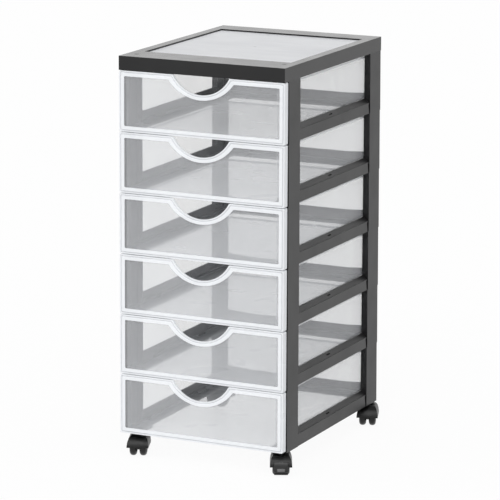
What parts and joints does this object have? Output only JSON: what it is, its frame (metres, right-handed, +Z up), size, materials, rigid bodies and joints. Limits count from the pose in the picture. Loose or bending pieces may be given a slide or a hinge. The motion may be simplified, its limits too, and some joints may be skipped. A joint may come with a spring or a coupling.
{
  "type": "rolling drawer tower",
  "caption": "Tall rolling storage tower: stacked black frames carry see-through pull-out drawers with finger scoops, under a panelled cap and on twin-wheel casters.",
  "frame": {"origin": "on the floor under the middle of the whole outline, casters included", "axes": "+Z up; the drawers open towards -Y; X runs across the width"},
  "size_m": [0.3368, 0.4001, 0.6807],
  "materials": {
    "black_frame": "satin moulded polypropylene",
    "frosted_drawer": "clear plastic with a milky frosting",
    "frosted_panel": "milky frosted",
    "caster_hood": "fine matt",
    "caster_wheel": "smooth nylon",
    "caster_steel": "bright plated",
    "insert_nylon": "natural nylon"
  },
  "bodies": {
    "frame": {"top_cap": "black_frame", "top_panel": "frosted_panel", "tier_frame_1": "black_frame", "tier_frame_2": "black_frame", "tier_frame_3": "black_frame", "tier_frame_4": "black_frame", "tier_frame_5": "black_frame", "tier_frame_6": "black_frame", "caster_insert_1": "insert_nylon", "caster_insert_2": "insert_nylon", "caster_insert_3": "insert_nylon", "caster_insert_4": "insert_nylon", "caster_stem_1": "caster_steel", "caster_stem_2": "caster_steel", "caster_stem_3": "caster_steel", "caster_stem_4": "caster_steel"},
    "drawer_1_body": {"drawer_1": "frosted_drawer"},
    "drawer_2_body": {"drawer_2": "frosted_drawer"},
    "drawer_3_body": {"drawer_3": "frosted_drawer"},
    "drawer_4_body": {"drawer_4": "frosted_drawer"},
    "drawer_5_body": {"drawer_5": "frosted_drawer"},
    "drawer_6_body": {"drawer_6": "frosted_drawer"},
    "caster_1": {"caster_hood_1": "caster_hood", "caster_axle_1": "caster_steel"},
    "caster_1_left_wheel": {"caster_wheel_left_1": "caster_wheel"},
    "caster_1_right_wheel": {"caster_wheel_right_1": "caster_wheel"},
    "caster_2": {"caster_hood_2": "caster_hood", "caster_axle_2": "caster_steel"},
    "caster_2_left_wheel": {"caster_wheel_left_2": "caster_wheel"},
    "caster_2_right_wheel": {"caster_wheel_right_2": "caster_wheel"},
    "pedal_2": {"brake_pedal_2": "caster_hood"},
    "caster_3": {"caster_hood_3": "caster_hood", "caster_axle_3": "caster_steel"},
    "caster_3_left_wheel": {"caster_wheel_left_3": "caster_wheel"},
    "caster_3_right_wheel": {"caster_wheel_right_3": "caster_wheel"},
    "pedal_3": {"brake_pedal_3": "caster_hood"},
    "caster_4": {"caster_hood_4": "caster_hood", "caster_axle_4": "caster_steel"},
    "caster_4_left_wheel": {"caster_wheel_left_4": "caster_wheel"},
    "caster_4_right_wheel": {"caster_wheel_right_4": "caster_wheel"}
  },
  "joints": [
    {"name": "drawer_1_slide", "type": "slide", "parent": "frame", "child": "drawer_1_body", "axis": [0, -1, 0], "range_m": [0, 0.28]},
    {"name": "drawer_2_slide", "type": "slide", "parent": "frame", "child": "drawer_2_body", "axis": [0, -1, 0], "range_m": [0, 0.28]},
    {"name": "drawer_3_slide", "type": "slide", "parent": "frame", "child": "drawer_3_body", "axis": [0, -1, 0], "range_m": [0, 0.28]},
    {"name": "drawer_4_slide", "type": "slide", "parent": "frame", "child": "drawer_4_body", "axis": [0, -1, 0], "range_m": [0, 0.28]},
    {"name": "drawer_5_slide", "type": "slide", "parent": "frame", "child": "drawer_5_body", "axis": [0, -1, 0], "range_m": [0, 0.28]},
    {"name": "drawer_6_slide", "type": "slide", "parent": "frame", "child": "drawer_6_body", "axis": [0, -1, 0], "range_m": [0, 0.28]},
    {"name": "caster_1_swivel", "type": "hinge", "parent": "frame", "child": "caster_1", "pos_m": [-0.1315, -0.161, 0.03], "axis": [0, 0, 1], "continuous": true},
    {"name": "caster_1_left_roll", "type": "hinge", "parent": "caster_1", "child": "caster_1_left_wheel", "pos_m": [-0.12577, -0.17594, 0.016], "axis": [0.9336, 0.3584, 0], "continuous": true},
    {"name": "caster_1_right_roll", "type": "hinge", "parent": "caster_1", "child": "caster_1_right_wheel", "pos_m": [-0.12577, -0.17594, 0.016], "axis": [0.9336, 0.3584, 0], "continuous": true},
    {"name": "caster_2_swivel", "type": "hinge", "parent": "frame", "child": "caster_2", "pos_m": [0.1315, -0.161, 0.03], "axis": [0, 0, 1], "continuous": true},
    {"name": "caster_2_left_roll", "type": "hinge", "parent": "caster_2", "child": "caster_2_left_wheel", "pos_m": [0.13826, -0.1755, 0.016], "axis": [0.9063, 0.4226, 0], "continuous": true},
    {"name": "caster_2_right_roll", "type": "hinge", "parent": "caster_2", "child": "caster_2_right_wheel", "pos_m": [0.13826, -0.1755, 0.016], "axis": [0.9063, 0.4226, 0], "continuous": true},
    {"name": "pedal_2_hinge", "type": "hinge", "parent": "caster_2", "child": "pedal_2", "pos_m": [0.14518, -0.19033, 0.023], "axis": [-0.9063, -0.4226, 0], "range_deg": [0, 12]},
    {"name": "caster_3_swivel", "type": "hinge", "parent": "frame", "child": "caster_3", "pos_m": [-0.139, 0.186, 0.03], "axis": [0, 0, 1], "continuous": true},
    {"name": "caster_3_left_roll", "type": "hinge", "parent": "caster_3", "child": "caster_3_left_wheel", "pos_m": [-0.14447, 0.17096, 0.016], "axis": [0.9397, -0.342, 0], "continuous": true},
    {"name": "caster_3_right_roll", "type": "hinge", "parent": "caster_3", "child": "caster_3_right_wheel", "pos_m": [-0.14447, 0.17096, 0.016], "axis": [0.9397, -0.342, 0], "continuous": true},
    {"name": "pedal_3_hinge", "type": "hinge", "parent": "caster_3", "child": "pedal_3", "pos_m": [-0.15007, 0.15559, 0.023], "axis": [-0.9397, 0.342, 0], "range_deg": [0, 12]},
    {"name": "caster_4_swivel", "type": "hinge", "parent": "frame", "child": "caster_4", "pos_m": [0.139, 0.186, 0.03], "axis": [0, 0, 1], "continuous": true},
    {"name": "caster_4_left_roll", "type": "hinge", "parent": "caster_4", "child": "caster_4_left_wheel", "pos_m": [0.14447, 0.17096, 0.016], "axis": [0.9397, 0.342, 0], "continuous": true},
    {"name": "caster_4_right_roll", "type": "hinge", "parent": "caster_4", "child": "caster_4_right_wheel", "pos_m": [0.14447, 0.17096, 0.016], "axis": [0.9397, 0.342, 0], "continuous": true}
  ]
}
